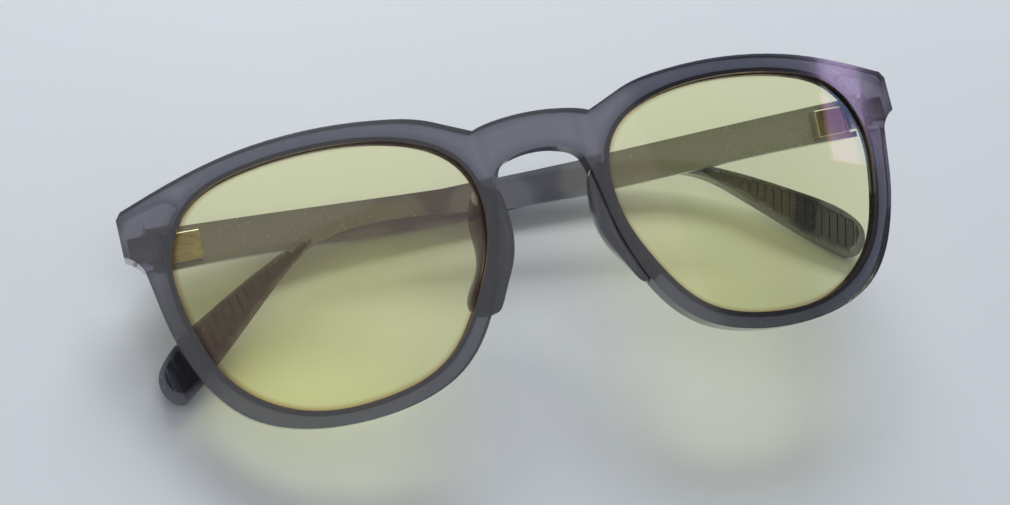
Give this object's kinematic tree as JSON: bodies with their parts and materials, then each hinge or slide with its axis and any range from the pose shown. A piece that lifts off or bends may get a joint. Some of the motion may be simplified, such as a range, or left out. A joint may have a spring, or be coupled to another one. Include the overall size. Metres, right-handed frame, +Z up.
{
  "type": "spectacles",
  "caption": "Translucent plastic spectacles with clear tinted lenses, moulded nose pads and sprung hinges, folded lens-up so that the temples cross behind the bridge.",
  "frame": {"origin": "centre of the bounding box in X and Y, on the table under the folded spectacles", "axes": "+X along the front towards the wearer's left, +Y up the front towards the brow, +Z up from the table, which is roughly the way the wearer looks"},
  "size_m": [0.1398, 0.0478, 0.0351],
  "materials": {
    "frame": "translucent smoky lilac-grey injection-moulded plastic, polished, faint frosted grain",
    "temple": "translucent smoky lilac-grey plastic, polished, darker than the front",
    "lens": "clear plastic lens, faint yellow-green tint, violet anti-reflective coating, amber edge",
    "pad": "translucent smoky plastic, polished, rounded",
    "leaf": "fine brushed nickel-silver, dulled under the plastic",
    "screw": "turned steel, light machining marks",
    "slider": "cast nickel-silver, bright worn edges",
    "box": "satin gold-brown plated box with polished cream edges",
    "plug": "turned brass",
    "nut": "turned steel",
    "spring": "drawn spring wire"
  },
  "bodies": {
    "front": {"front_frame": "frame", "left_lens": "lens", "right_lens": "lens", "left_nose_pad": "pad", "right_nose_pad": "pad", "left_hinge_leaf": "leaf", "right_hinge_leaf": "leaf", "left_hinge_screw": "screw", "right_hinge_screw": "screw"},
    "left_slider": {"left_hinge_slider": "slider", "left_slider_nut": "nut"},
    "left_arm": {"left_temple": "temple", "left_spring_box": "box", "left_box_plug": "plug", "left_box_spring": "spring"},
    "right_slider": {"right_hinge_slider": "slider", "right_slider_nut": "nut"},
    "right_arm": {"right_temple": "temple", "right_spring_box": "box", "right_box_plug": "plug", "right_box_spring": "spring"}
  },
  "joints": [
    {"name": "left_fold", "type": "hinge", "parent": "front", "child": "left_slider", "pos_m": [0.06467, 0.01316, 0.02412], "axis": [0.0399, -0.9273, -0.3721], "range_deg": [0, 91.8]},
    {"name": "left_flex", "type": "slide", "parent": "left_slider", "child": "left_arm", "axis": [-0.9969, -0.0118, -0.0776], "range_m": [0, 0.0012], "stiffness_N_per_m": 250, "deforming": ["left_box_spring"]},
    {"name": "right_fold", "type": "hinge", "parent": "front", "child": "right_slider", "pos_m": [-0.06399, 0.01316, 0.01032], "axis": [-0.0399, 0.9273, 0.3721], "range_deg": [0, 85.2]},
    {"name": "right_flex", "type": "slide", "parent": "right_slider", "child": "right_arm", "axis": [0.9991, 0.0313, 0.0291], "range_m": [0, 0.0012], "stiffness_N_per_m": 250, "deforming": ["right_box_spring"]}
  ]
}
